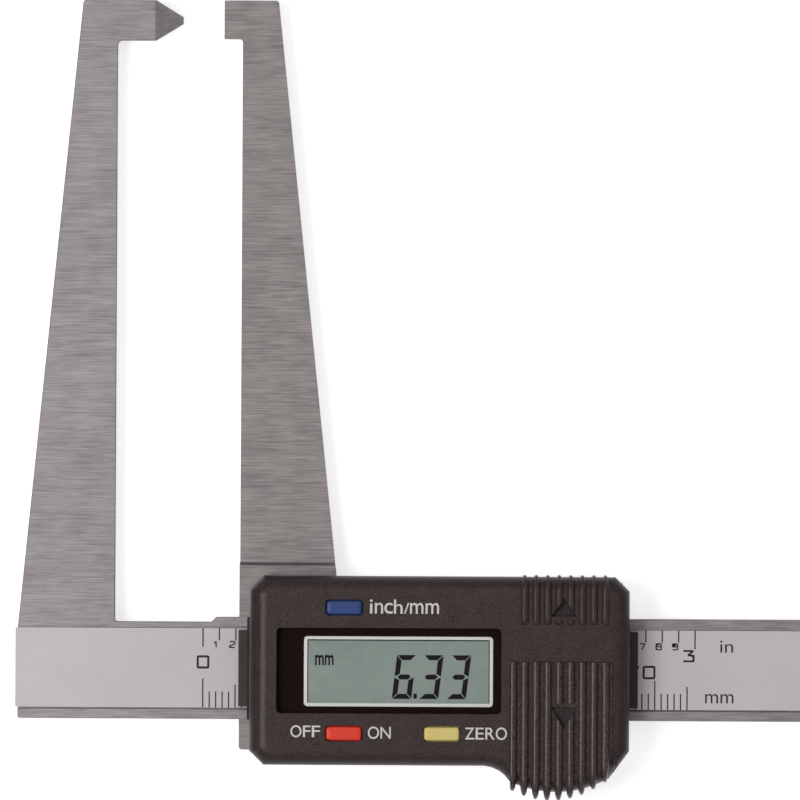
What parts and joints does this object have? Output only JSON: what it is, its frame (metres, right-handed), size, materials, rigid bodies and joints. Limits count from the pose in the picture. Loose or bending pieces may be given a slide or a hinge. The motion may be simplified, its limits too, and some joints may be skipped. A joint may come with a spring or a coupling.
{
  "type": "digital caliper",
  "caption": "Digital brake disc caliper: a steel beam with one long jaw, and a sliding jaw that carries a display with coloured buttons.",
  "frame": {"origin": "on the back face of the beam, at the zero line of the scale, halfway up the beam", "axes": "+X along the beam from the fixed jaw, +Y towards the jaw tips, +Z towards the display"},
  "size_m": [0.1752, 0.1236, 0.0148],
  "materials": {
    "steel": "finely ground stainless steel",
    "label": "satin silver scale plate, black print",
    "grating": "board",
    "bright_screw": "bright",
    "bronze": "plain",
    "cover": "fine-grained black plastic",
    "door": "fine-grained black plastic",
    "lens": "clear, with a dark printed border",
    "rim": "light grey",
    "lcd": "grey-green display",
    "rubber": "layered rubber",
    "sensor_board": "black",
    "main_board": "green board",
    "chip": "epoxy drop",
    "dome": "bright",
    "blue": "semi-gloss",
    "red": "semi-gloss",
    "yellow": "semi-gloss",
    "cell": "bright nickel",
    "contact": "plated spring strip"
  },
  "bodies": {
    "main_beam": {"beam": "steel", "grating_strip": "grating", "scale_label": "label", "end_stop": "steel", "end_stop_screws": "bright_screw"},
    "slider": {"slider_frame": "steel", "gib_strip": "bronze", "gib_screws": "bright_screw", "front_cover": "cover", "cover_screws": "bright_screw", "window_lens": "lens", "lcd_frame": "rim", "lcd_glass": "lcd", "zebra_strips": "rubber", "sensor_board": "sensor_board", "main_board": "main_board", "controller_chip": "chip", "button_domes": "dome", "battery": "cell", "contact_negative": "contact", "contact_positive": "contact"},
    "unit_button": {"unit_button": "blue"},
    "power_button": {"power_button": "red"},
    "zero_button": {"zero_button": "yellow"},
    "battery_door": {"battery_door": "door"}
  },
  "joints": [
    {"name": "slider_slide", "type": "slide", "parent": "main_beam", "child": "slider", "axis": [1, 0, 0], "range_m": [-0.0063, 0.07]},
    {"name": "unit_button_press", "type": "slide", "parent": "slider", "child": "unit_button", "axis": [0, 0, -1], "range_m": [0, 0.0004], "stiffness_N_per_m": 600, "springref_m": -0.0003},
    {"name": "power_button_press", "type": "slide", "parent": "slider", "child": "power_button", "axis": [0, 0, -1], "range_m": [0, 0.0004], "stiffness_N_per_m": 600, "springref_m": -0.0003},
    {"name": "zero_button_press", "type": "slide", "parent": "slider", "child": "zero_button", "axis": [0, 0, -1], "range_m": [0, 0.0004], "stiffness_N_per_m": 600, "springref_m": -0.0003},
    {"name": "battery_door_slide", "type": "slide", "parent": "slider", "child": "battery_door", "axis": [0, -1, 0], "range_m": [0, 0.022]}
  ]
}
